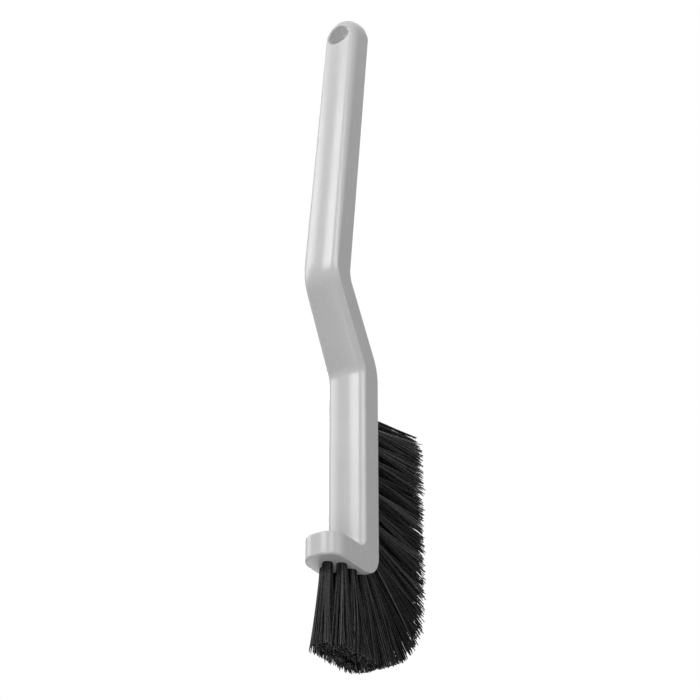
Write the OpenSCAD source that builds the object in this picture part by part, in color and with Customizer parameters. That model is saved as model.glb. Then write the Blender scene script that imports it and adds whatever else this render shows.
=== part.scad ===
// Crevice brush: an L-shaped head on a cranked handle, with two rows of bristle tufts.
// Units are millimetres. The origin is the middle of the hanging hole, +Z runs up along
// the head bar, the bristle rows face +Y and the foot points to -Y.

/* [Head] */
// Width of the head bar, the foot and the lower neck
head_w = 17.8; // [16.5:0.1:22]
// Thickness of the head bar from its back to its bristle face
head_t = 12.6; // [11.5:0.1:16]
// Height of the lower bend's corner above the underside of the foot
head_len = 91; // [84:1:120]
// Radius of the rounded bottom corner of the bristle face
corner_r = 9; // [8:0.5:11]

/* [Foot] */
// Reach of the foot behind the head's back face
foot_reach = 19.5; // [18:0.5:28]
// Height of the foot
foot_h = 10; // [9:0.5:13]
// Radius of the foot's two end corners in plan
foot_end_r = 7.8; // [6:0.1:8]
// Radius of the hollow between the foot's top and the head's back
foot_blend_r = 4; // [2:0.5:6]

/* [Neck and grip] */
// How far the upper bend lies behind the head
neck_offset = 20.5; // [12:0.5:28]
// Height of the upper bend above the lower bend
neck_rise = 36.2; // [30:0.5:50]
// Bend radius of the lower bend along the middle of the handle
lower_bend_r = 15; // [12:1:24]
// Bend radius of the upper bend along the middle of the handle
upper_bend_r = 16; // [12:1:24]
// Lean of the grip towards the bristle side
grip_lean = 6.65; // [0:0.05:12]
// Distance along the grip from the upper bend to the hanging hole
grip_len = 129.9; // [100:0.1:170]
// Width of the grip at the upper bend
grip_w_low = 16.8; // [15.8:0.1:20]
// Width of the grip at the hanging hole
grip_w_top = 16.4; // [15.8:0.1:20]
// Distance from the hanging hole to where the grip's end starts to round in
end_start = 2.8; // [1:0.1:5]
// Distance from the hanging hole to the tip of the grip
end_len = 12.4; // [11:0.1:16]
// Radius that the back rounds over with at the grip's end
end_back_r = 9.2; // [6:0.1:9.4]

/* [Edges] */
// Radius of the long edges at the back
back_edge_r = 3.8; // [3:0.1:5]
// Height of the crown across the back
back_crown = 1; // [0:0.1:1.5]
// Radius of the long edges at the bristle side
front_edge_r = 1.2; // [0.6:0.1:2]
// Radius of the foot's upper and lower rims
rim_r = 0.9; // [0.5:0.1:1.2]

/* [Hanging hole] */
// Diameter of the hanging hole
hang_hole_d = 9.8; // [7:0.1:10.6]
// Width of the bevel round each mouth of the hanging hole
hang_bevel = 0.4; // [0.2:0.1:0.6]

/* [Tufts] */
// Number of tufts in each long row
row_tufts = 13; // [6:1:14]
// Distance from tuft to tuft along a row
tuft_pitch = 6.9; // [5.8:0.1:7.2]
// Distance of each row from the middle plane
row_offset = 3.9; // [3.4:0.1:4.6]
// Distance from the last row tufts to the foot tuft
foot_tuft_step = 4; // [3.5:0.1:5]
// Distance along the foot from the rounded corner's end to the last row tufts
row_end = 11; // [10:0.5:12]
// Diameter of each tuft hole
tuft_hole_d = 4; // [3:0.1:4.2]
// Depth of each tuft hole
tuft_hole_depth = 6.5; // [5:0.1:7]
// Clearance round each bundle in its hole
tuft_clearance = 0.05; // [0.03:0.01:0.1]

/* [Bristles] */
// Reach of the trimmed bristles in front of the bristle face
side_trim = 36; // [25:1:55]
// Reach of the trimmed bristles below the foot
foot_trim = 35; // [25:1:50]
// Radius of the trimmed corner
trim_r = 40; // [10:1:50]
// Strands in the outer ring of a tuft
outer_strands = 10; // [8:1:11]
// Strands in the inner ring of a tuft
inner_strands = 5; // [3:1:6]
// Radius of one strand
strand_r = 0.38; // [0.2:0.01:0.4]
// Gap between neighbouring tufts at their tips
tip_gap = 0.7; // [0.5:0.1:1.2]
// Upward lean of the top tufts
fan_top = 9; // [0:0.5:12]
// Extra downward lean of the tufts at the rounded corner
fan_corner = 16; // [0:1:20]
// Extra lean of the last tufts towards the foot's end
fan_foot = 6; // [0:1:10]
// Outward lean of each row
row_splay = 1; // [0:0.5:6]

/* [Anchors] */
// Thickness of an anchor plate
anchor_t = 0.4; // [0.3:0.05:0.6]
// Height of an anchor plate along the hole
anchor_h = 1.6; // [1:0.1:2]
// Height of the anchor plate above the bottom of the hole
anchor_seat = 0.6; // [0.3:0.1:1]
// Clearance round the anchor in the fold of the bundle
anchor_clearance = 0.05; // [0.03:0.01:0.1]

/* [Hidden] */
function two_digits(i) = i < 10 ? str("0", i) : str(i);
function row_name(side, i) = str("tuft_", side, "_", two_digits(i));
ROWS = [for (i = [1:row_tufts]) i];

// Smoothness of the round cuts
bore_fn = 64;
// Facets in a quarter turn of the long back edges and of the front edges, down each side,
// which has four, and in half the flat front
back_steps = 8;
front_steps = 3;
side_steps = 4;
front_parts = 3;
// Rings in each bend, in each rounded rim, in the rounded corner and in the grip's end
bend_steps = 8;
rim_steps = 3;
corner_steps = 6;
blend_steps = 5;
end_steps = 11;
// Turn of the tip's rounding that its last ring reaches
last_turn = 82;
// Smallest thickness left where the end's two roundings meet
end_seam = 0.8;
// Height of the step that keeps one ring from lying on the next
ring_step = 0.02;

// Middle line of the handle, in the head's own frame: [y, z] with z = 0 under the foot
lower_bend = [0, head_len];
upper_bend = [-neck_offset, head_len + neck_rise];
neck_lean = -atan2(neck_offset, neck_rise);
neck_len = norm(upper_bend - lower_bend);
function along(lean) = [sin(lean), cos(lean)];
function across(lean) = [cos(lean), -sin(lean)];
hang_hole = upper_bend + grip_len * along(grip_lean);

// Faces of the head and foot
front_y = head_t / 2;
back_y = -head_t / 2;
foot_end_y = back_y - foot_reach;

// Rounding that a quarter-round edge takes off at distance d from the outer edge
function edge_drop(r, d) = d >= r ? 0 : r - sqrt(max(0, r * r - (r - d) * (r - d)));

// Right half of a section, from the middle of the front round to the middle of the back,
// as [x, depth] with depth counted towards the bristle side. inset draws the foot's rims in,
// fully behind the depth inset_from - back_edge_r and not at all in front of inset_from.
head_side = back_y + back_edge_r;
function half_section(half_w, front, back, back_r, crown, inset, inset_from) =
    let (
        edge = front_edge_r,
        side_top = front - edge,
        side_low = back + back_r,
        span = side_top - side_low,
        cut_mid = min(side_top - 0.2 * span, max(side_low + 0.3 * span, head_side)),
        cut_low = min(side_top - 0.45 * span, max(side_low + 0.02 * span, back_y)),
        cuts = [(side_top + cut_mid) / 2, cut_mid, cut_low],
        shrink = function(depth) inset * min(1, max(0, (inset_from - depth) / back_edge_r))
    )
    concat(
        [for (k = [0:front_parts - 1])
            [(half_w - edge - shrink(front)) * k / front_parts, front]],
        [for (k = [0:front_steps])
            let (a = 90 - 90 * k / front_steps, depth = side_top + edge * sin(a))
            [half_w - edge + edge * cos(a) - shrink(depth), depth]],
        [for (depth = cuts) [half_w - shrink(depth), depth]],
        [for (k = [0:back_steps])
            let (
                a = 90 * k / back_steps,
                depth = side_low - back_r * sin(a),
                r = back_r - shrink(depth),
                x = half_w - back_r + r * cos(a)
            )
            [x, side_low - r * sin(a) + crown * pow(x / half_w, 2) * sin(a)]],
        [let (x = (half_w - back_r) / 2) [x, back + inset + crown * pow(x / half_w, 2)]],
        [[0, back + inset]]
    );

function whole_section(half) =
    let (last = len(half) - 1)
    concat(half, [for (k = [1:last - 1]) [-half[last - k][0], half[last - k][1]]]);

// A section stood on the middle line at point c, tilted by lean
function ring(c, lean, section) =
    [for (p = section)
        let (q = c + p[1] * across(lean))
        [p[0], q[0], q[1]]];

// Sections of the foot and head, level at height z
function bottom_front(z) =
    z >= corner_r ? front_y : front_y - corner_r + sqrt(corner_r * corner_r - pow(corner_r - z, 2));

function foot_ring(z, inset, inset_from) =
    ring([0, z], 0, whole_section(half_section(
        head_w / 2, bottom_front(z), foot_end_y, foot_end_r, 0, inset, inset_from)));

function head_ring(z, hollow, inset) =
    ring([0, z], 0, whole_section(half_section(
        head_w / 2, bottom_front(z), back_y - hollow, back_edge_r, back_crown, inset,
        head_side)));

lower_rim = [for (k = [0:rim_steps])
    let (a = 90 * k / rim_steps)
    foot_ring(rim_r - rim_r * cos(a), rim_r - rim_r * sin(a), front_y + back_edge_r)];

corner_rings = [for (k = [1:corner_steps - 1])
    let (z = rim_r + (min(corner_r, foot_h - rim_r) - rim_r) * pow(k / corner_steps, 1.3))
    foot_ring(z, 0, head_side)];

upper_rim = [for (k = [0:rim_steps])
    let (a = 90 * k / rim_steps)
    foot_ring(foot_h - rim_r + rim_r * sin(a), rim_r - rim_r * cos(a), head_side)];

blend_rings = [for (k = [0:blend_steps])
    let (a = 90 * k / blend_steps)
    head_ring(foot_h + ring_step + foot_blend_r - foot_blend_r * cos(a),
        foot_blend_r - foot_blend_r * sin(a), rim_r * pow(cos(a), 2))];

// Sections along the neck and grip: width and back edge follow the distance along the line
function plain_ring(c, lean, width) =
    ring(c, lean, whole_section(half_section(
        width / 2, head_t / 2, -head_t / 2, back_edge_r, back_crown, 0, head_side)));

// Rings round a bend of radius r at corner p, from lean a0 to lean a1, with widths w0 to w1
function bend_rings(p, a0, a1, r, w0, w1) =
    let (
        turn = a1 - a0,
        side = turn > 0 ? 1 : -1,
        setback = r * tan(abs(turn) / 2),
        start = p - setback * along(a0),
        centre = start + side * r * across(a0)
    )
    [for (k = [0:bend_steps])
        let (
            t = k / bend_steps,
            a = a0 + turn * t,
            c = centre - side * r * across(a)
        )
        plain_ring(c, a, w0 + (w1 - w0) * t)];

lower_rings = bend_rings(lower_bend, 0, neck_lean, lower_bend_r, head_w, head_w);
upper_rings = bend_rings(upper_bend, neck_lean, grip_lean, upper_bend_r, grip_w_low, grip_w_low);

// The grip's end is a half ellipse in plan. Its back rounds over with a large radius and
// its front with a small one, and the two meet at the seam.
end_half_w = grip_w_top / 2;
end_front_r = head_t - end_back_r;
seam_depth = head_t / 2 - end_front_r;
function end_width(s) =
    s <= end_start ? end_half_w :
    end_half_w * sqrt(max(0, 1 - pow((s - end_start) / (end_len - end_start), 2)));
function end_reach(x) =
    end_start + (end_len - end_start) * sqrt(max(0, 1 - pow(x / end_half_w, 2)));

// Depth of the back at [x, s], where edge is the drop of the long edge's own rounding
function end_back(x, s, edge) =
    min(seam_depth - end_seam / 2, -head_t / 2 + back_crown * pow(x / end_half_w, 2)
        + norm([edge, edge_drop(end_back_r, max(0, end_reach(x) - s))]));
function end_front(x, s, edge) =
    max(seam_depth + end_seam / 2,
        head_t / 2 - norm([edge, edge_drop(end_front_r, max(0, end_reach(x) - s))]));

function end_section(s) =
    let (
        half_w = end_width(s),
        edge = min(front_edge_r, half_w * 0.3),
        back_r = min(back_edge_r, half_w * 0.8),
        front_x = half_w - edge,
        side_top = end_front(half_w, s, edge),
        side_low = end_back(half_w, s, back_r),
        flat_x = half_w - back_r
    )
    concat(
        [for (k = [0:front_parts - 1])
            let (x = front_x * k / front_parts) [x, end_front(x, s, 0)]],
        [for (k = [0:front_steps])
            let (a = 90 - 90 * k / front_steps, x = front_x + edge * cos(a))
            [x, end_front(x, s, edge - edge * sin(a))]],
        [for (k = [1:side_steps - 1])
            [half_w, side_top + (side_low - side_top) * k / side_steps]],
        [for (k = [0:back_steps])
            let (a = 90 * k / back_steps, x = flat_x + back_r * cos(a))
            [x, end_back(x, s, back_r - back_r * sin(a))]],
        [[flat_x / 2, end_back(flat_x / 2, s, 0)], [0, end_back(0, s, 0)]]
    );

// The side's rounding starts before the hanging hole and the tip's after it
side_round = [for (k = [0:end_steps - 4])
    end_start - end_back_r * cos(90 * k / (end_steps - 3))];
tip_round = [for (k = [0:end_steps])
    end_start + (end_len - end_start) * sin(last_turn * k / end_steps)];
end_rings = [for (s = concat(side_round, tip_round))
    ring(hang_hole + s * along(grip_lean), grip_lean, whole_section(end_section(s)))];

handle_rings = concat(lower_rim, corner_rings, upper_rim, blend_rings,
    lower_rings, upper_rings, end_rings);

// Closed skin over a stack of rings that all have the same number of points. Each end is
// one triangle, or a fan round its middle.
module skin(rings) {
    m = len(rings[0]);
    n = len(rings);
    last = (n - 1) * m;
    one_each = [for (p = rings[0]) 1];
    middles = [one_each * rings[0] / m, one_each * rings[n - 1] / m];
    points = concat([for (r = rings) for (p = r) p], m > 3 ? middles : []);
    sides = [for (i = [0:n - 2]) for (j = [0:m - 1])
        let (
            a = i * m + j,
            b = i * m + (j + 1) % m,
            c = b + m,
            d = a + m
        )
        each [[a, b, c], [a, c, d]]];
    ends = m == 3 ? [[0, 2, 1], [last, last + 1, last + 2]] :
        [for (j = [0:m - 1])
            let (k = (j + 1) % m)
            each [[n * m, k, j], [n * m + 1, last + j, last + k]]];
    polyhedron(points = points, faces = concat(sides, ends), convexity = 8);
}

// Path of the tuft rows: distance s runs down the bristle face, round the corner, where
// s = 0 is the start of the corner, and on under the foot
corner_len = corner_r * PI / 2;
row_last = corner_len + row_end;
row_first = row_last - (row_tufts - 1) * tuft_pitch;
function face_angle(s) = s <= 0 ? 0 : s >= corner_len ? -90 : -90 * s / corner_len;
function face_point(s) =
    s <= 0 ? [front_y, corner_r - s] :
    s >= corner_len ? [front_y - corner_r - (s - corner_len), 0] :
    [front_y - corner_r, corner_r] + corner_r * [cos(face_angle(s)), sin(face_angle(s))];

// Lean of the tuft at s: the face's own turn, eased through the corner, and the fan
corner_ease = corner_len / 2;
function tuft_lean(s) =
    let (u = s - corner_len / 2)
    -90 / (1 + exp(-u / corner_ease))
    + lookup(u, [[row_first - corner_len / 2, fan_top], [0, -fan_corner],
        [row_last - corner_len / 2, -fan_foot]]);

// Where a strand from point p along direction d meets the trimmed outline
trim_y = front_y + side_trim;
trim_z = -foot_trim;
function to_plane(gap, slope) = slope > 0.001 ? gap / slope : 1000;
function strand_length(p, d) =
    let (
        flat = min(to_plane(trim_y - p[1], d[1]), to_plane(p[2] - trim_z, -d[2])),
        tip = p + flat * d,
        mid = [trim_y - trim_r, trim_z + trim_r],
        rel = [p[1] - mid[0], p[2] - mid[1]],
        dir = [d[1], d[2]],
        a = dir * dir,
        b = rel * dir,
        c = rel * rel - trim_r * trim_r
    )
    tip[1] > mid[0] && tip[2] < mid[1] ? (-b + sqrt(b * b - a * c)) / a : flat;

// A tuft's own frame: its mouth on the face, its axis out of the hole and two cross axes
function tuft_frame(x, s, side) =
    let (
        p = face_point(s),
        lean = tuft_lean(s),
        axis = [sin(row_splay) * side, cos(row_splay) * cos(lean), cos(row_splay) * sin(lean)],
        wide = [cos(row_splay), -sin(row_splay) * side * cos(lean),
            -sin(row_splay) * side * sin(lean)],
        tall = cross(axis, wide)
    )
    [[x, p[0], p[1]], axis, wide, tall];

function row_frame(i, side) =
    tuft_frame(side * row_offset, row_first + (i - 1) * tuft_pitch, side);
top_frame = tuft_frame(0, row_first - tuft_pitch, 0);
foot_frame = tuft_frame(0, row_last + foot_tuft_step, 0);
all_frames = concat([top_frame, foot_frame],
    [for (i = ROWS) row_frame(i, 1)], [for (i = ROWS) row_frame(i, -1)]);

// Strands: their places in the mouth, one in the middle and two rings
plug_r = tuft_hole_d / 2 - tuft_clearance;
strand_rim = 0.15;
outer_ring_r = plug_r - strand_r - strand_rim;
inner_ring_r = outer_ring_r * 0.52;
function ring_places(count, r, turn) = [for (k = [0:count - 1])
    let (a = turn + 360 * k / count) r * [cos(a), sin(a)]];
places = concat([[0, 0]], ring_places(inner_strands, inner_ring_r, 10),
    ring_places(outer_strands, outer_ring_r, 0));

// Levels of a strand along its length, and how far it has spread by each
strand_levels = [0, 0.45, 1];
strand_root = 0.8;
tip_taper = 0.85;
flare_reach = side_trim * 0.75;
flare = (tuft_pitch / 2 - tip_gap / 2 - strand_r * tip_taper) / outer_ring_r;
function spread(t) = 1 + (flare - 1) * t * (0.6 + 0.4 * t);

function strand_rings(f, place) =
    let (
        start = f[0] + place[0] * f[2] + place[1] * f[3],
        far = flare_reach * f[1] + (flare - 1) * (place[0] * f[2] + place[1] * f[3]),
        d = far / norm(far),
        reach = strand_length(start, d) * (d * f[1]),
        turn = atan2(place[1], place[0])
    )
    [for (t = strand_levels)
        let (
            h = t == 0 ? -strand_root : reach * t,
            w = spread(t),
            r = strand_r * (1 - (1 - tip_taper) * t)
        )
        [for (k = [0:2])
            let (a = turn - 120 * k, q = place * w + r * [cos(a), sin(a)])
            f[0] + h * f[1] + q[0] * f[2] + q[1] * f[3]]];

// Turns a piece built along +Z, mouth at z = 0, into a tuft's frame
module in_frame(f) {
    multmatrix([
        [f[2][0], f[3][0], f[1][0], f[0][0]],
        [f[2][1], f[3][1], f[1][1], f[0][1]],
        [f[2][2], f[3][2], f[1][2], f[0][2]]
    ]) children();
}

// Puts the head's own frame into the part's frame
module in_part() {
    translate([0, -hang_hole[0], -hang_hole[1]]) children();
}

anchor_w = tuft_hole_d - 2 * anchor_clearance;
anchor_low = -tuft_hole_depth + anchor_seat;
plug_low = -tuft_hole_depth + tuft_clearance;

module tuft_hole() {
    translate([0, 0, -tuft_hole_depth])
        cylinder(d = tuft_hole_d, h = tuft_hole_depth + tuft_hole_d, $fn = bore_fn);
}

// The bore with a bevel at each mouth, the deeper one following the crowned back
crown_drop = back_crown * pow(hang_hole_d / grip_w_top, 2);
module hanging_hole() {
    translate([0, hang_hole[0], hang_hole[1]]) rotate([90 - grip_lean, 0, 0]) {
        translate([0, 0, -head_t]) cylinder(d = hang_hole_d, h = 2 * head_t, $fn = bore_fn);
        rotate([180, 0, 0]) hole_bevel(hang_bevel);
        hole_bevel(hang_bevel + crown_drop);
    }
}

module hole_bevel(depth) {
    over = 1;
    r = hang_hole_d / 2;
    translate([0, 0, head_t / 2 - depth])
        cylinder(r1 = r, r2 = r + depth + over, h = depth + over, $fn = bore_fn);
}

module handle() {
    color("gainsboro") in_part() difference() {
        skin(handle_rings);
        hanging_hole();
        for (f = all_frames) in_frame(f) tuft_hole();
    }
}

module anchor() {
    translate([-anchor_w / 2, -anchor_t / 2, anchor_low]) cube([anchor_w, anchor_t, anchor_h]);
}

module anchors() {
    color("darkgray") in_part() for (f = all_frames) in_frame(f) anchor();
}

// The bundle's packed root fills its hole, with a slot where it folds over the anchor
module tuft_root() {
    slot_t = anchor_t + 2 * anchor_clearance;
    slot_h = anchor_h + 2 * anchor_clearance;
    difference() {
        translate([0, 0, plug_low]) cylinder(r = plug_r, h = -plug_low, $fn = bore_fn);
        translate([-tuft_hole_d, -slot_t / 2, anchor_low - anchor_clearance])
            cube([2 * tuft_hole_d, slot_t, slot_h]);
    }
}

module tuft(f) {
    color("dimgray") in_part() union() {
        in_frame(f) tuft_root();
        for (place = places) skin(strand_rings(f, place));
    }
}

handle();
anchors();
tuft(top_frame);  // tuft_top
tuft(foot_frame);  // tuft_foot
for (i = ROWS) tuft(row_frame(i, 1));
for (i = ROWS) tuft(row_frame(i, -1));
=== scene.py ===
"""Crevice brush: the moulded handle, its 28 bristle tufts, the light and the camera.

Lengths are in millimetres and angles in degrees, in the head's own frame: +y is the bristle
side, y = 0 the middle of the bar and z = 0 the underside of the foot. place() turns them
into metres in the part's frame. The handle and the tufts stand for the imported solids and
share their sizes, except that the crown and edges of the back and the lean of the top tufts
follow the photograph a little closer. Lamps, floor and camera are in metres.
"""
import math

import bpy
import numpy as np
from mathutils import Matrix, Vector


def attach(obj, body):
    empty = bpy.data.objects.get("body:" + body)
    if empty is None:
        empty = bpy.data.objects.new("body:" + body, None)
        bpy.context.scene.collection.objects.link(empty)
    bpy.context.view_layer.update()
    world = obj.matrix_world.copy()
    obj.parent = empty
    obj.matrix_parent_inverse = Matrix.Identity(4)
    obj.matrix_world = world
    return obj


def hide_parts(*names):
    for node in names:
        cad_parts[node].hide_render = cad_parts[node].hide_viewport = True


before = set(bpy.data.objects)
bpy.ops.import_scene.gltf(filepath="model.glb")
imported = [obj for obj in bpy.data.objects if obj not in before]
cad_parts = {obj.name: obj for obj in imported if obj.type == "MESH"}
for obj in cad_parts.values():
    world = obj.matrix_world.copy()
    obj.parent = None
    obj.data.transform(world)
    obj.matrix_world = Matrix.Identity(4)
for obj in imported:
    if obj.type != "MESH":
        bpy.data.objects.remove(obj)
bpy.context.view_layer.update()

MM = 0.001

# Head and foot
HEAD_W, HEAD_T = 17.8, 12.6
HEAD_LEN = 91.0         # up to the corner of the lower bend
CORNER_R = 9.0          # between the bristle face and the underside
FOOT_REACH = 19.5       # behind the head
FOOT_H = 10.0
FOOT_END_R = 7.8
FOOT_BLEND_R = 4.0      # between the foot's top and the head's back

# Neck and grip
NECK_OFFSET, NECK_RISE = 20.5, 36.2
LOWER_BEND_R, UPPER_BEND_R = 15.0, 16.0
GRIP_LEAN = 6.65
GRIP_LEN = 129.9        # from the corner of the upper bend to the hanging hole
GRIP_W_LOW, GRIP_W_TOP = 16.8, 16.4
END_START = 2.8         # past the hanging hole, where the round end begins
END_LEN = 12.4          # past the hanging hole, where it ends
END_BACK_R = 9.2        # rounding of the end's back, seen from the side

# Edges
BACK_EDGE_R, FRONT_EDGE_R = 3.0, 1.2
BACK_CROWN = 1.8        # drop of the back from its middle to its edges
RIM_R = 0.9             # rounding of the foot's rims
RIM_FADE = 3.8          # depth over which that rounding fades out

# Hanging hole
HOLE_R = 4.9
HOLE_LIP = 0.55         # rounding of both mouths

# Tufts
ROW_TUFTS, PITCH = 13, 6.9
ROW_OFFSET = 3.9        # of each row from the middle plane
ROW_END = 11.0          # last tuft of a row, past the corner
FOOT_STEP = 4.0         # from there to the tuft under the foot
TUFT_R, TUFT_DEPTH = 2.0, 6.5

# Bristles
SIDE_TRIM, FOOT_TRIM, TRIM_R = 36.0, 35.0, 40.0
FAN_TOP, FAN_CORNER, FAN_FOOT = 5.0, 16.0, 6.0      # extra lean of the tufts there
ROW_SPLAY = 1.0                                     # outward lean of each row
FILAMENT_R = 0.2

FRONT_Y, BACK_Y = HEAD_T / 2, -HEAD_T / 2
FOOT_END_Y = BACK_Y - FOOT_REACH
HEAD_SIDE = BACK_Y + RIM_FADE
UPPER = np.array([-NECK_OFFSET, HEAD_LEN + NECK_RISE])
LOWER = np.array([0.0, HEAD_LEN])
NECK_LEAN = -math.degrees(math.atan2(NECK_OFFSET, NECK_RISE))


def sind(a):
    return math.sin(math.radians(a))


def cosd(a):
    return math.cos(math.radians(a))


def along(lean):
    return np.array([sind(lean), cosd(lean)])


def across(lean):
    return np.array([cosd(lean), -sind(lean)])


HOLE = UPPER + GRIP_LEN * along(GRIP_LEAN)


def place(points):
    """Points in mm in the head's frame, as metres in the part's frame."""
    return (np.asarray(points, float) - [0, HOLE[0], HOLE[1]]) * MM


def new_mesh(name, verts, faces):
    mesh = bpy.data.meshes.new(name)
    mesh.from_pydata(place(verts).tolist(), [], faces)
    return mesh


def tube_faces(rings, sides, base=0):
    """Quads between neighbouring rings of a tube, whose first point has the index base."""
    faces = []
    for i in range(rings - 1):
        for j in range(sides):
            a, b = base + i * sides + j, base + i * sides + (j + 1) % sides
            faces.append((a, b, b + sides, a + sides))
    return faces


def cap_faces(rings, sides, base=0):
    """One face over each end of such a tube, the last end first."""
    top = base + (rings - 1) * sides
    return [tuple(range(top, top + sides)), tuple(range(base + sides - 1, base - 1, -1))]


def add_object(data, name):
    obj = bpy.data.objects.new(name, data)
    bpy.context.scene.collection.objects.link(obj)
    return obj


def smooth_by_angle(mesh, degrees):
    mesh.polygons.foreach_set("use_smooth", [True] * len(mesh.polygons))
    mesh.set_sharp_from_angle(angle=math.radians(degrees))


# ---------------------------------------------------------------- sections of the handle
# Steps round half a section, from the middle of the front to the middle of the back
FRONT_PARTS, FRONT_STEPS, BACK_STEPS, FLAT_PARTS = 5, 6, 14, 6
SIDE_PARTS = (4, 6, 3)
# Least shares of a side above and below the two depths where its steps change
ABOVE_MID, BELOW_MID, ABOVE_CUT, BELOW_CUT = 0.2, 0.3, 0.45, 0.02
# Most of the half width that an edge of the round end takes
END_FRONT_SHARE, END_BACK_SHARE = 0.3, 0.8
# Least thickness of the round end's outline
END_SEAM = 0.5


def edge_drop(r, d):
    """How far an edge of radius r has dropped at the distance d inside its end."""
    return 0.0 if d >= r else r - math.sqrt(max(0.0, r * r - (r - d) ** 2))


def side_depths(top, low):
    """Depths of the points down a side, close together where the foot's rim fades."""
    span = top - low
    mid = min(top - ABOVE_MID * span, max(low + BELOW_MID * span, HEAD_SIDE))
    cut = min(top - ABOVE_CUT * span, max(low + BELOW_CUT * span, BACK_Y))
    stops = (top, mid, cut, low)
    depths = []
    for a, b, parts in zip(stops, stops[1:], SIDE_PARTS):
        depths += [a + (b - a) * k / parts for k in range(parts)]
    return depths[1:]


def half_section(half_w, front, back, back_r, crown, inset=0.0, inset_from=HEAD_SIDE):
    """Right half of a section from the middle of the front round to the middle of the back.

    The section is drawn in by inset, fully behind the depth inset_from - RIM_FADE and not at
    all in front of inset_from.
    """
    def shrink(depth):
        t = min(1.0, max(0.0, (inset_from - depth) / RIM_FADE))
        return inset * t * t * (3 - 2 * t)

    edge = FRONT_EDGE_R
    top, low = front - edge, back + back_r
    flat = half_w - edge - shrink(front)
    pts = [(flat * k / FRONT_PARTS, front) for k in range(FRONT_PARTS)]
    for k in range(FRONT_STEPS + 1):
        a = 90 - 90 * k / FRONT_STEPS
        depth = top + edge * sind(a)
        pts.append((half_w - edge + edge * cosd(a) - shrink(depth), depth))
    pts += [(half_w - shrink(depth), depth) for depth in side_depths(top, low)]
    for k in range(BACK_STEPS + 1):
        a = 90 * k / BACK_STEPS
        r = back_r - shrink(low - back_r * sind(a))
        x = half_w - back_r + r * cosd(a)
        pts.append((x, low - r * sind(a) + crown * (x / half_w) ** 2 * sind(a)))
    for k in range(1, FLAT_PARTS + 1):
        x = (half_w - back_r) * (1 - k / FLAT_PARTS)
        pts.append((x, back + shrink(back) + crown * (x / half_w) ** 2))
    return pts


END_HALF_W = GRIP_W_TOP / 2
END_FRONT_R = HEAD_T - END_BACK_R
SEAM_DEPTH = HEAD_T / 2 - END_FRONT_R


def end_reach(x):
    """How far the round end reaches past the hanging hole at x."""
    return END_START + (END_LEN - END_START) * math.sqrt(max(0.0, 1 - (x / END_HALF_W) ** 2))


def end_back(x, s, edge):
    drop = edge_drop(END_BACK_R, max(0.0, end_reach(x) - s))
    return min(SEAM_DEPTH - END_SEAM / 2,
               BACK_Y + BACK_CROWN * (x / END_HALF_W) ** 2 + math.hypot(edge, drop))


def end_front(x, s, edge):
    drop = edge_drop(END_FRONT_R, max(0.0, end_reach(x) - s))
    return max(SEAM_DEPTH + END_SEAM / 2, FRONT_Y - math.hypot(edge, drop))


def end_section(s):
    """Section of the grip's round end at the distance s past the hanging hole."""
    t = (s - END_START) / (END_LEN - END_START)
    half_w = END_HALF_W if t <= 0 else END_HALF_W * math.sqrt(max(0.0, 1 - t * t))
    edge = min(FRONT_EDGE_R, half_w * END_FRONT_SHARE)
    back_r = min(BACK_EDGE_R, half_w * END_BACK_SHARE)
    front_x, flat_x = half_w - edge, half_w - back_r
    top, low = end_front(half_w, s, edge), end_back(half_w, s, back_r)
    pts = [(front_x * k / FRONT_PARTS, end_front(front_x * k / FRONT_PARTS, s, 0))
           for k in range(FRONT_PARTS)]
    for k in range(FRONT_STEPS + 1):
        a = 90 - 90 * k / FRONT_STEPS
        x = front_x + edge * cosd(a)
        pts.append((x, end_front(x, s, edge - edge * sind(a))))
    parts = sum(SIDE_PARTS)
    pts += [(half_w, top + (low - top) * k / parts) for k in range(1, parts)]
    for k in range(BACK_STEPS + 1):
        a = 90 * k / BACK_STEPS
        x = flat_x + back_r * cosd(a)
        pts.append((x, end_back(x, s, back_r - back_r * sind(a))))
    for k in range(1, FLAT_PARTS + 1):
        x = flat_x * (1 - k / FLAT_PARTS)
        pts.append((x, end_back(x, s, 0)))
    return pts


# ---------------------------------------------------------------- rings and skin
RIM_STEPS, FOOT_STEPS, BLEND_STEPS, BEND_STEPS = 6, 16, 12, 18
END_LEAD_STEPS, END_STEPS = 24, 30
FOOT_CROWDING = 1.3     # above 1, the foot's rings are closer together near its underside
RING_GAP = 4.0          # between the rings of a straight stretch
SEAM_STEP = 0.02        # between the foot's last ring and the blend's first
LAST_TURN = 88.0        # of the round end's last ring; 90 would be its very end


def ring(c, lean, half):
    """The whole section stood on the middle line at c, tilted by lean."""
    whole = half + [(-x, d) for x, d in half[-2:0:-1]]
    side = across(lean)
    return np.array([(x, c[0] + d * side[0], c[1] + d * side[1]) for x, d in whole])


def bottom_front(z):
    """Depth of the bristle face at the height z, round the bottom corner."""
    if z >= CORNER_R:
        return FRONT_Y
    return FRONT_Y - CORNER_R + math.sqrt(CORNER_R ** 2 - (CORNER_R - z) ** 2)


def foot_ring(z, inset=0.0, inset_from=HEAD_SIDE):
    return ring((0, z), 0, half_section(HEAD_W / 2, bottom_front(z), FOOT_END_Y, FOOT_END_R,
                                        0, inset, inset_from))


def head_ring(z, hollow=0.0, inset=0.0):
    return ring((0, z), 0, half_section(HEAD_W / 2, bottom_front(z), BACK_Y - hollow,
                                        BACK_EDGE_R, BACK_CROWN, inset))


def plain_ring(c, lean, width):
    return ring(c, lean, half_section(width / 2, FRONT_Y, BACK_Y, BACK_EDGE_R, BACK_CROWN))


def between(a, b):
    """Rings ruled between two rings, about RING_GAP apart."""
    n = max(2, int(np.linalg.norm(b.mean(0) - a.mean(0)) / RING_GAP))
    return [a + (b - a) * k / n for k in range(1, n)]


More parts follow.
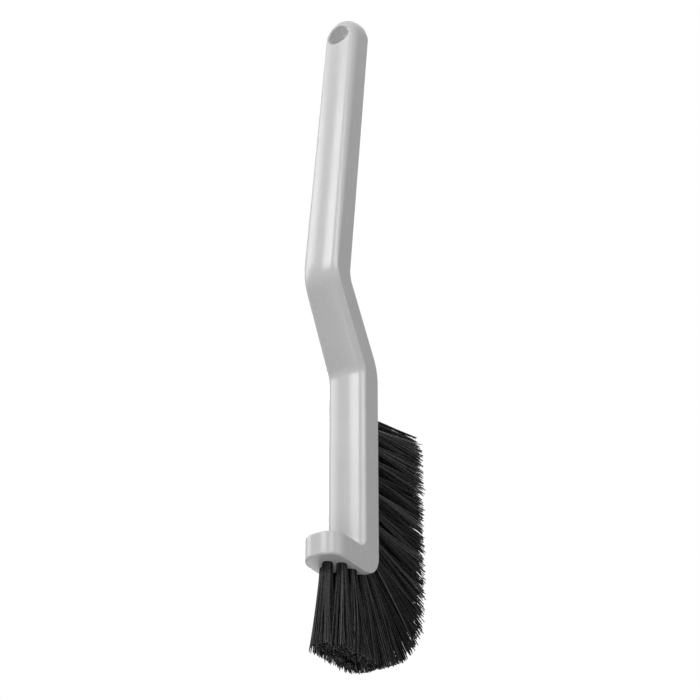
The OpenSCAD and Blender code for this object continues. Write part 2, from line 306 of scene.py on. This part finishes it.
def bend(p, a0, a1, r, width):
    """Rings round a bend of radius r at the corner p, from lean a0 to lean a1."""
    turn = a1 - a0
    side = 1 if turn > 0 else -1
    start = p - r * math.tan(math.radians(abs(turn) / 2)) * along(a0)
    centre = start + side * r * across(a0)
    leans = [a0 + turn * k / BEND_STEPS for k in range(BEND_STEPS + 1)]
    return [plain_ring(centre - side * r * across(lean), lean, width) for lean in leans]


def handle_rings():
    """All rings from the foot's underside to the tip of the grip."""
    rings = []
    rim_turns = [90 * k / RIM_STEPS for k in range(RIM_STEPS + 1)]
    for a in rim_turns:
        rings.append(foot_ring(RIM_R - RIM_R * cosd(a), RIM_R - RIM_R * sind(a),
                               FRONT_Y + RIM_FADE))
    low, high = RIM_R, FOOT_H - RIM_R
    rings += [foot_ring(low + (high - low) * (k / FOOT_STEPS) ** FOOT_CROWDING)
              for k in range(1, FOOT_STEPS)]
    for a in rim_turns:
        rings.append(foot_ring(high + RIM_R * sind(a), RIM_R - RIM_R * cosd(a)))
    for k in range(BLEND_STEPS + 1):
        a = 90 * k / BLEND_STEPS
        rings.append(head_ring(FOOT_H + SEAM_STEP + FOOT_BLEND_R * (1 - cosd(a)),
                               FOOT_BLEND_R * (1 - sind(a)), RIM_R * cosd(a) ** 2))
    lower = bend(LOWER, 0, NECK_LEAN, LOWER_BEND_R, HEAD_W)
    upper = bend(UPPER, NECK_LEAN, GRIP_LEAN, UPPER_BEND_R, GRIP_W_LOW)
    stops = [END_START - END_BACK_R * cosd(90 * k / END_LEAD_STEPS)
             for k in range(END_LEAD_STEPS)]
    stops += [END_START + (END_LEN - END_START) * sind(LAST_TURN * k / END_STEPS)
              for k in range(END_STEPS + 1)]
    end = [ring(HOLE + s * along(GRIP_LEAN), GRIP_LEAN, end_section(s)) for s in stops]
    for group in (lower, upper, end):
        rings += between(rings[-1], group[0]) + group
    return rings


def skin_mesh(name, rings):
    """Closed quad skin over the rings, with a fan round the middle of each end."""
    m, n = len(rings[0]), len(rings)
    verts = np.vstack(rings + [rings[0].mean(0)[None], rings[-1].mean(0)[None]])
    faces = tube_faces(n, m)
    last = (n - 1) * m
    for j in range(m):
        k = (j + 1) % m
        faces += [(n * m, k, j), (n * m + 1, last + j, last + k)]
    return new_mesh(name, verts, faces)


# ---------------------------------------------------------------- holes
LATHE_SIDES = 72
LIP_TURNS = (0, 10, 25, 40, 55, 70, 84)
CUTTER_MARGIN, CUTTER_REACH = 0.6, 3.0      # of the bore's cutter, outside the handle
MOUTH_RING = 1.0                            # depth of a tuft cutter's middle ring


def lathe_mesh(name, rows, to_world):
    """Closed cutter from rows of (radius, height) functions of the angle."""
    verts = []
    for row in rows:
        for k in range(LATHE_SIDES):
            a = 2 * math.pi * k / LATHE_SIDES
            r, h = row(a)
            verts.append(to_world(r * math.cos(a), r * math.sin(a), h))
    top, bottom = cap_faces(len(rows), LATHE_SIDES)
    return new_mesh(name, verts, tube_faces(len(rows), LATHE_SIDES) + [bottom, top])


def hanging_hole_mesh():
    """Bore along the hole's axis, with a rounded lip that follows the crowned back."""
    side, up = across(GRIP_LEAN), along(GRIP_LEAN)

    def to_world(x, t, depth):
        return (x, HOLE[0] + depth * side[0] + t * up[0], HOLE[1] + depth * side[1] + t * up[1])

    def back_level(a):
        return BACK_Y + BACK_CROWN * ((HOLE_R + HOLE_LIP / 2) * math.cos(a) / END_HALF_W) ** 2

    def lip(turn, level, outward):
        r = HOLE_R + HOLE_LIP * (1 - cosd(turn))
        return lambda a: (r, level(a) - outward * HOLE_LIP * (1 - sind(turn)))

    widest = HOLE_R + HOLE_LIP + CUTTER_MARGIN
    rows = [lambda a: (widest, BACK_Y - CUTTER_REACH)]
    rows += [lip(turn, back_level, -1) for turn in LIP_TURNS[::-1]]
    rows += [lip(turn, lambda a: FRONT_Y, 1) for turn in LIP_TURNS]
    rows += [lambda a: (widest, FRONT_Y + CUTTER_REACH)]
    return lathe_mesh("hanging_hole_cutter", rows, to_world)


# Path of the tuft rows: s runs down the bristle face, round the corner and under the foot
CORNER_LEN = CORNER_R * math.pi / 2
ROW_LAST = CORNER_LEN + ROW_END
ROW_FIRST = ROW_LAST - (ROW_TUFTS - 1) * PITCH


def face_point(s):
    if s <= 0:
        return np.array([FRONT_Y, CORNER_R - s])
    if s >= CORNER_LEN:
        return np.array([FRONT_Y - CORNER_R - (s - CORNER_LEN), 0.0])
    a = -90 * s / CORNER_LEN
    return np.array([FRONT_Y - CORNER_R, CORNER_R]) + CORNER_R * np.array([cosd(a), sind(a)])


def tuft_lean(s):
    """Lean of a tuft at s: it turns over smoothly at the corner and fans out."""
    u = s - CORNER_LEN / 2
    fan = np.interp(u, [ROW_FIRST - CORNER_LEN / 2, 0, ROW_LAST - CORNER_LEN / 2],
                    [FAN_TOP, -FAN_CORNER, -FAN_FOOT])
    return -90 / (1 + math.exp(-u / (CORNER_LEN / 2))) + fan


def tuft_frame(x, s, side):
    """Mouth, axis and two cross axes of the tuft at the distance s."""
    p, lean = face_point(s), tuft_lean(s)
    c, w = cosd(ROW_SPLAY) if side else 1.0, sind(ROW_SPLAY) * side
    axis = np.array([w, c * cosd(lean), c * sind(lean)])
    wide = np.array([c, -w * cosd(lean), -w * sind(lean)])
    return np.array([x, p[0], p[1]]), axis, wide, np.cross(axis, wide)


TUFTS = {"tuft_top": tuft_frame(0, ROW_FIRST - PITCH, 0),
         "tuft_foot": tuft_frame(0, ROW_LAST + FOOT_STEP, 0)}
for row, side in (("right", 1), ("left", -1)):
    for i in range(ROW_TUFTS):
        TUFTS[f"tuft_{row}_{i + 1:02d}"] = tuft_frame(
            side * ROW_OFFSET, ROW_FIRST + i * PITCH, side)


def tuft_hole_mesh(name, mouth, axis, wide, tall):
    def to_world(x, y, h):
        return mouth + x * wide + y * tall + h * axis
    rows = [lambda a, h=h: (TUFT_R, h) for h in (-TUFT_DEPTH, -MOUTH_RING, TUFT_R * 2)]
    return lathe_mesh(name, rows, to_world)


HANDLE_SHARP = 38       # edges of the handle sharper than this stay sharp


def make_handle():
    """The moulding: its skin with the hanging hole and the 28 tuft holes cut out."""
    skin = add_object(skin_mesh("handle_skin", handle_rings()), "handle_skin")
    cutters = [hanging_hole_mesh()]
    cutters += [tuft_hole_mesh("cut_" + n, *f) for n, f in TUFTS.items()]
    tools = []
    for mesh in cutters:
        tool = add_object(mesh, mesh.name)
        tools.append(tool)
        cut = skin.modifiers.new(mesh.name, "BOOLEAN")
        cut.operation, cut.solver, cut.object = "DIFFERENCE", "MANIFOLD", tool
    graph = bpy.context.evaluated_depsgraph_get()
    mesh = bpy.data.meshes.new_from_object(skin.evaluated_get(graph))
    for obj in [skin] + tools:
        bpy.data.objects.remove(obj)
    smooth_by_angle(mesh, HANDLE_SHARP)
    handle = add_object(mesh, "handle_moulding")
    normals = handle.modifiers.new("weighted_normals", "WEIGHTED_NORMAL")
    normals.keep_sharp = True
    return handle


# ---------------------------------------------------------------- bristles
SIDES, LEVELS = 5, 8                # of one filament's tube
PACK_RINGS = 6                      # of filaments round the middle one
PACK_SHARE, PACK_SHIFT = 0.985, 0.025
MOUTH_GAP = 0.05                    # between the outermost filaments and the hole's wall
OUTER_R = TUFT_R - MOUTH_GAP - FILAMENT_R
ROOT = -2.5                         # height of the filaments' lower ends, in the hole
# Half the size of a tuft at its tips
TIP_HALF_W, TOP_HALF_W, TOP_HALF_H = 3.4, 5.4, 2.9
ROW_OVERLAP, FOOT_OVERLAP = 1.6, 0.8
# Course of a filament: it leans to the middle of its clump, drifts and bows
CLUMPS, CLUMP_PULL = 20, 0.2
DRIFT, BOW = 0.35, 0.3
STRAY_CHANCE, STRAY = 0.03, 1.5     # a few drift and bow more than the rest
SQUARING = 0.7                      # how far a round mouth's tips fill a rectangle
EARLY = 0.65                        # how early a filament spreads; 1 is evenly
SHORTER, UNEVEN, LONGEST = -0.15, 0.22, 0.3     # length against the trim
THINNEST, THICKEST = 0.9, 1.08      # radius, as a share of FILAMENT_R
# Tones from 0 to 1, by beta distributions: many filaments are dark and few are pale
# The pale tones are partly painted highlights: pale filaments stand in for shine on the strands
CLUMP_TONE, OWN_TONE, CLUMP_SHARE, TONE_POWER = (0.5, 1.6), (0.4, 1.6), 0.5, 1.6
FIRST_SEED = 900
BRISTLE_SHARP = 80

TRIM_Y, TRIM_Z = FRONT_Y + SIDE_TRIM, -FOOT_TRIM
FAR, FLAT = 1000, 0.001     # a direction flatter than this never meets that side


def to_trim(p, d):
    """Distance from p along d to the trimmed outline."""
    flat = min((TRIM_Y - p[1]) / d[1] if d[1] > FLAT else FAR,
               (p[2] - TRIM_Z) / -d[2] if -d[2] > FLAT else FAR)
    tip = p + flat * d
    mid = np.array([TRIM_Y - TRIM_R, TRIM_Z + TRIM_R])
    if not (tip[1] > mid[0] and tip[2] < mid[1]):
        return flat
    rel, run = p[1:] - mid, d[1:]
    a, b, c = run @ run, rel @ run, rel @ rel - TRIM_R ** 2
    return (-b + math.sqrt(b * b - a * c)) / a


def tip_of(tuft):
    mouth, axis = tuft[0], tuft[1]
    return mouth + to_trim(mouth, axis) * axis


def tip_half_sizes():
    """Half the width and height of each tuft at its tips, so that neighbours overlap."""
    sizes = {"tuft_top": (TOP_HALF_W, TOP_HALF_H),
             "tuft_foot": (TIP_HALF_W, PITCH / 2 + FOOT_OVERLAP)}
    for row in ("right", "left"):
        names = [f"tuft_{row}_{i + 1:02d}" for i in range(ROW_TUFTS)]
        tips = [tip_of(TUFTS[n]) for n in names]
        gaps = [np.linalg.norm(b - a) for a, b in zip(tips, tips[1:])]
        gaps = [gaps[0]] + gaps + [gaps[-1]]
        for name, before, after in zip(names, gaps, gaps[1:]):
            height = max(PITCH / 2, (before + after) / 4 + ROW_OVERLAP)
            sizes[name] = (TIP_HALF_W, height)
    return sizes


def packed_places(rng):
    """Filament places in the mouth: close-packed rings, a little disturbed."""
    places = [np.zeros(2)]
    for k in range(1, PACK_RINGS + 1):
        start = rng.uniform(0, 60)
        for j in range(6 * k):
            a = start + 60 * j / k
            places.append(OUTER_R * k / PACK_RINGS * np.array([cosd(a), sind(a)]))
    return [q * PACK_SHARE + rng.normal(0, PACK_SHIFT, 2) for q in places]


def squared(place_at):
    """Factor that moves a place of the round mouth out towards a square's corners."""
    return (np.linalg.norm(place_at) / max(0.01, np.abs(place_at).max())) ** SQUARING


def bristle_mesh(name, number, tip_half_size, mouth, axis, wide, tall):
    """One tuft's filaments: straight or slightly bent, splayed and cut off at the trim."""
    rng = np.random.default_rng(FIRST_SEED + number)
    reach_mid = to_trim(mouth, axis)
    flare = np.array(tip_half_size) / OUTER_R
    angles = np.arange(SIDES) * 2 * math.pi / SIDES
    circle = np.outer(np.cos(angles), wide) + np.outer(np.sin(angles), tall)
    t = np.linspace(0, 1, LEVELS)
    verts, faces, tones = [], [], []
    places = packed_places(rng)
    clumps = np.array(places)[rng.choice(len(places), CLUMPS, replace=False)]
    clump_tones = rng.beta(*CLUMP_TONE, CLUMPS)
    for place_at in places:
        nearest = np.argmin(np.linalg.norm(clumps - place_at, axis=1))
        stray = STRAY if rng.random() < STRAY_CHANCE else 1.0
        pull = CLUMP_PULL * (clumps[nearest] - place_at) * flare
        drift = (pull + rng.normal(0, DRIFT, 2)) * stray
        drift += (squared(place_at) - 1) * flare * place_at
        bow = rng.normal(0, BOW, 2) * stray
        spread_by = (flare - 1) * place_at + drift
        start = mouth + place_at[0] * wide + place_at[1] * tall
        far = reach_mid * axis + spread_by[0] * wide + spread_by[1] * tall
        d = far / np.linalg.norm(far)
        reach = to_trim(start, d) * (d @ axis) + min(LONGEST, rng.normal(SHORTER, UNEVEN))
        grow = t * (EARLY + (1 - EARLY) * t) * reach / reach_mid
        bend_by = 4 * t * (1 - t)
        flow = place_at + grow[:, None] * spread_by + bend_by[:, None] * bow
        heights = reach * t
        heights[0], flow[0] = ROOT, place_at
        centres = mouth + heights[:, None] * axis + flow[:, :1] * wide + flow[:, 1:] * tall
        radius = FILAMENT_R * rng.uniform(THINNEST, THICKEST)
        base = len(verts)
        for centre in centres:
            verts.extend(centre + radius * circle)
        faces += tube_faces(LEVELS, SIDES, base) + cap_faces(LEVELS, SIDES, base)
        tone = CLUMP_SHARE * clump_tones[nearest] + (1 - CLUMP_SHARE) * rng.beta(*OWN_TONE)
        tones += [tone ** TONE_POWER] * (LEVELS * SIDES)
    mesh = new_mesh(name, verts, faces)
    mesh.attributes.new("tone", "FLOAT", "POINT").data.foreach_set("value", tones)
    smooth_by_angle(mesh, BRISTLE_SHARP)
    return mesh


# ---------------------------------------------------------------- materials
# Colours as darkest and palest, roughness as smoothest and roughest
PLASTIC_TONES, PLASTIC_ROUGHNESS = ((0.49, 0.491, 0.494), (0.52, 0.52, 0.52)), (0.21, 0.27)
SCRATCH_ROUGHNESS = (0, 0.07)       # added to that
PLASTIC_IOR = 1.55
PLASTIC_BUMP = {"Strength": 0.25, "Distance": 0.00004}
# Bristle colours from dark to pale; the palest is partly painted highlight, the strands' shine
# put into their colour
BRISTLE_TONES_AND_HIGHLIGHTS, BRISTLE_ROUGHNESS = ((0.001, 0.001, 0.0012), (0.24, 0.24, 0.243)), (0.22, 0.32)
GRAIN_SHIFT = (-0.06, 0.06)         # added to a filament's tone
BRISTLE_IOR, BRISTLE_SPECULAR = 1.5, 0.12
BRISTLE_BUMP = {"Strength": 0.3, "Distance": 0.00003}
METAL_TONES, METAL_ROUGHNESS = ((0.55, 0.55, 0.54), (0.68, 0.68, 0.66)), (0.25, 0.42)
FLOOR_TONES, FLOOR_ROUGHNESS = ((0.86, 0.86, 0.86), (0.89, 0.89, 0.89)), 0.8

# Noises: scale is about the number of features to a metre, and a small stretch draws them
# out along that axis
MOTTLE = {"scale": 22, "detail": 3}
RUBBING = {"scale": 60, "detail": 4, "stretch": (1, 1, 0.35)}
SCRATCHES = {"scale": 900, "stretch": (1, 1, 0.03), "rough": 0.6}
PEEL, WAVE = {"scale": 700}, {"scale": 90, "detail": 1}
GRAIN = {"scale": 1500}
STREAKS = {"scale": 2500, "detail": 3, "stretch": (0.05, 1, 1)}
CLOUDS = {"scale": 3, "detail": 3}
# The part of a noise's values that is used
MOST, MIDDLE, HIGHEST = (0.3, 0.7), (0.35, 0.65), (0.62, 0.72)
WAVE_HEIGHT = (0, 2.0)              # against the peel's 1


def new_material(name):
    mat = bpy.data.materials.new(name)
    mat.use_nodes = True
    return mat, mat.node_tree, mat.node_tree.nodes["Principled BSDF"]


def node(tree, kind, inputs=(), **settings):
    """New shader node with its settings, and its inputs set or linked."""
    n = tree.nodes.new("ShaderNode" + kind)
    for key, value in settings.items():
        setattr(n, key, value)
    for key, value in dict(inputs).items():
        if isinstance(value, bpy.types.NodeSocket):
            tree.links.new(value, n.inputs[key])
        else:
            n.inputs[key].default_value = value
    return n


def noise(tree, coords, scale, detail=2.0, stretch=(1, 1, 1), rough=0.5):
    at = node(tree, "Mapping", {"Vector": coords, "Scale": stretch}).outputs["Vector"]
    return node(tree, "TexNoise", {"Vector": at, "Scale": scale, "Detail": detail,
                                   "Roughness": rough}).outputs["Fac"]


def remap(tree, value, source, target):
    """The value with the range source stretched to the range target, and clamped there."""
    ranges = dict(zip(("From Min", "From Max", "To Min", "To Max"), (*source, *target)))
    return node(tree, "MapRange", {"Value": value, **ranges}).outputs["Result"]


def colour_mix(tree, fac, a, b):
    """Mix from the colour a to the colour b."""
    mix = node(tree, "Mix", {"Factor": fac}, data_type="RGBA")
    for socket, colour in (("A_Color", a), ("B_Color", b)):
        next(s for s in mix.inputs if s.identifier == socket).default_value = (*colour, 1)
    return next(s for s in mix.outputs if s.identifier == "Result_Color")


def plastic_material():
    """Light grey moulded polypropylene: satin, faintly mottled, with handling scratches."""
    mat, tree, shader = new_material("handle_plastic")
    coords = node(tree, "TexCoord").outputs["Object"]
    mottle = remap(tree, noise(tree, coords, **MOTTLE), MIDDLE, (0, 1))
    tree.links.new(colour_mix(tree, mottle, *PLASTIC_TONES), shader.inputs["Base Color"])
    rubbed = noise(tree, coords, **RUBBING)
    lines = remap(tree, noise(tree, coords, **SCRATCHES), HIGHEST, SCRATCH_ROUGHNESS)
    rough = node(tree, "Math", {0: remap(tree, rubbed, MOST, PLASTIC_ROUGHNESS),
                                1: lines}, operation="ADD").outputs[0]
    tree.links.new(rough, shader.inputs["Roughness"])
    shader.inputs["IOR"].default_value = PLASTIC_IOR
    peel = noise(tree, coords, **PEEL)
    wave = remap(tree, noise(tree, coords, **WAVE), (0, 1), WAVE_HEIGHT)
    height = node(tree, "Math", {0: peel, 1: wave}, operation="ADD").outputs[0]
    bump = node(tree, "Bump", {"Height": height, **PLASTIC_BUMP})
    tree.links.new(bump.outputs["Normal"], shader.inputs["Normal"])
    return mat


def bristle_material():
    """Black polyester filament with a soft shine; each filament has its own tone, and the pale
    tones are partly painted highlights.
    """
    mat, tree, shader = new_material("bristle")
    tone = node(tree, "Attribute", attribute_name="tone").outputs["Fac"]
    coords = node(tree, "TexCoord").outputs["Object"]
    grain = noise(tree, coords, **GRAIN)
    mixed = node(tree, "Math", {0: tone, 1: remap(tree, grain, MOST, GRAIN_SHIFT)},
                 operation="ADD", use_clamp=True).outputs[0]
    tree.links.new(colour_mix(tree, mixed, *BRISTLE_TONES_AND_HIGHLIGHTS), shader.inputs["Base Color"])
    tree.links.new(remap(tree, grain, MOST, BRISTLE_ROUGHNESS), shader.inputs["Roughness"])
    shader.inputs["IOR"].default_value = BRISTLE_IOR
    shader.inputs["Specular IOR Level"].default_value = BRISTLE_SPECULAR
    bump = node(tree, "Bump", {"Height": grain, **BRISTLE_BUMP})
    tree.links.new(bump.outputs["Normal"], shader.inputs["Normal"])
    return mat


def metal_material():
    """Drawn stainless wire: fine streaks along the plate."""
    mat, tree, shader = new_material("anchor_metal")
    coords = node(tree, "TexCoord").outputs["Object"]
    streaks = noise(tree, coords, **STREAKS)
    tree.links.new(colour_mix(tree, streaks, *METAL_TONES), shader.inputs["Base Color"])
    tree.links.new(remap(tree, streaks, MOST, METAL_ROUGHNESS), shader.inputs["Roughness"])
    shader.inputs["Metallic"].default_value = 1.0
    return mat


# ---------------------------------------------------------------- pieces
plastic, bristle, metal = plastic_material(), bristle_material(), metal_material()


def dress(obj, mat):
    obj.data.materials.clear()
    obj.data.materials.append(mat)


handle = make_handle()
dress(handle, plastic)
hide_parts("handle")
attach(handle, "root")

half_sizes = tip_half_sizes()
for number, (name, tuft) in enumerate(TUFTS.items()):
    mesh = bristle_mesh(name + "_bristles", number, half_sizes[name], *tuft)
    piece = add_object(mesh, mesh.name)
    dress(piece, bristle)
    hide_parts(name)
    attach(piece, "root")

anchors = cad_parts["anchors"]
for material_slot in anchors.material_slots:
    material_slot.material = metal

# ---------------------------------------------------------------- stage
FLOOR_HALF, FLOOR_LEVEL = 60.0, -1.30
FLOOR_GLOW, FLOOR_WHITE = 0.85, (0.97, 0.97, 0.97, 1)
AMBIENT = 0.10          # strength of the world on the brush; seen, it is 1
LAMP_CENTRE, LAMP_DISTANCE = Vector((0, 0.005, -0.13)), 1.3
# Name, direction from the brush, width, height, radiance
LAMPS = (
    ("softbox_front", (-0.02, -0.80, 0.56), 0.65, 0.75, 6.2),
    ("strip_right", (0.54, -0.56, 0.50), 0.35, 0.70, 5.0),
    ("strip_left", (-0.78, -0.30, 0.52), 0.70, 0.70, 3.0),
    ("softbox_low", (0.20, -0.70, -0.60), 0.50, 0.50, 5.2),
    ("softbox_side", (0.95, -0.10, 0.12), 0.50, 0.50, 2.6),
    ("softbox_far", (-0.15, 0.75, -0.60), 0.60, 0.60, 6.5),
    ("softbox_far_left", (-0.65, 0.72, 0.35), 0.60, 0.60, 6.5),
)
CAMERA_AT = (0.46079, -0.71669, -0.64177)
CAMERA_AZIMUTH, CAMERA_ELEVATION = 32.600, 29.688
CAMERA_SENSOR, CAMERA_LENS, CAMERA_CLIP = 36.0, 123.31, (0.01, 100.0)


def seen_ray(tree):
    """1 for camera, glossy and transmission rays, which see the studio as white."""
    light = node(tree, "LightPath")
    seen = node(tree, "Math", {0: light.outputs["Is Camera Ray"],
                               1: light.outputs["Is Glossy Ray"]}, operation="MAXIMUM")
    return node(tree, "Math", {0: seen.outputs[0], 1: light.outputs["Is Transmission Ray"]},
                operation="MAXIMUM").outputs[0]


def make_floor():
    """Pale floor that looks nearly white and still takes the brush's shadow."""
    half, level = FLOOR_HALF, FLOOR_LEVEL
    mesh = bpy.data.meshes.new("floor")
    mesh.from_pydata([(-half, -half, level), (half, -half, level),
                      (half, half, level), (-half, half, level)], [], [(0, 1, 2, 3)])
    floor = add_object(mesh, "floor")
    mat, tree, shader = new_material("floor_paint")
    coords = node(tree, "TexCoord").outputs["Object"]
    tree.links.new(colour_mix(tree, noise(tree, coords, **CLOUDS), *FLOOR_TONES),
                   shader.inputs["Base Color"])
    shader.inputs["Roughness"].default_value = FLOOR_ROUGHNESS
    paper = node(tree, "Emission", {"Color": FLOOR_WHITE, "Strength": 1.0})
    shown = node(tree, "Math", {0: seen_ray(tree), 1: FLOOR_GLOW}, operation="MULTIPLY")
    mixed = node(tree, "MixShader", {0: shown.outputs[0], 1: shader.outputs["BSDF"],
                                     2: paper.outputs["Emission"]})
    tree.links.new(mixed.outputs["Shader"],
                   tree.nodes["Material Output"].inputs["Surface"])
    mesh.materials.append(mat)


def make_world():
    """White studio, which lights the brush only a little from all round."""
    world = bpy.data.worlds.new("studio")
    bpy.context.scene.world = world
    world.use_nodes = True
    tree = world.node_tree
    strength = remap(tree, seen_ray(tree), (0, 1), (AMBIENT, 1.0))
    tree.links.new(strength, tree.nodes["Background"].inputs["Strength"])
    tree.nodes["Background"].inputs["Color"].default_value = (1, 1, 1, 1)


def make_lamp(name, direction, width, height, radiance):
    """Rectangular softbox of the given radiance, facing the brush."""
    data = bpy.data.lights.new(name, "AREA")
    data.shape, data.size, data.size_y = "RECTANGLE", width, height
    data.energy = radiance * math.pi * width * height
    lamp = add_object(data, name)
    towards = Vector(direction).normalized()
    lamp.location = LAMP_CENTRE + towards * LAMP_DISTANCE
    lamp.rotation_euler = towards.to_track_quat("Z", "Y").to_euler()


def make_camera():
    """The photograph's view: from below and behind, with a long lens."""
    data = bpy.data.cameras.new("camera")
    data.sensor_width, data.lens, data.sensor_fit = CAMERA_SENSOR, CAMERA_LENS, "HORIZONTAL"
    data.clip_start, data.clip_end = CAMERA_CLIP
    azimuth, elevation = math.radians(CAMERA_AZIMUTH), math.radians(CAMERA_ELEVATION)
    forward = Vector((-math.sin(azimuth) * math.cos(elevation),
                      math.cos(azimuth) * math.cos(elevation), math.sin(elevation)))
    right = forward.cross(Vector((0, 0, 1))).normalized()
    up = right.cross(forward)
    camera = add_object(data, "camera")
    axes = Matrix((right, up, -forward)).transposed().to_4x4()
    camera.matrix_world = Matrix.Translation(CAMERA_AT) @ axes
    bpy.context.scene.camera = camera


make_floor()
make_world()
for lamp in LAMPS:
    make_lamp(*lamp)
make_camera()

scene = bpy.context.scene
scene.view_settings.view_transform = "Standard"
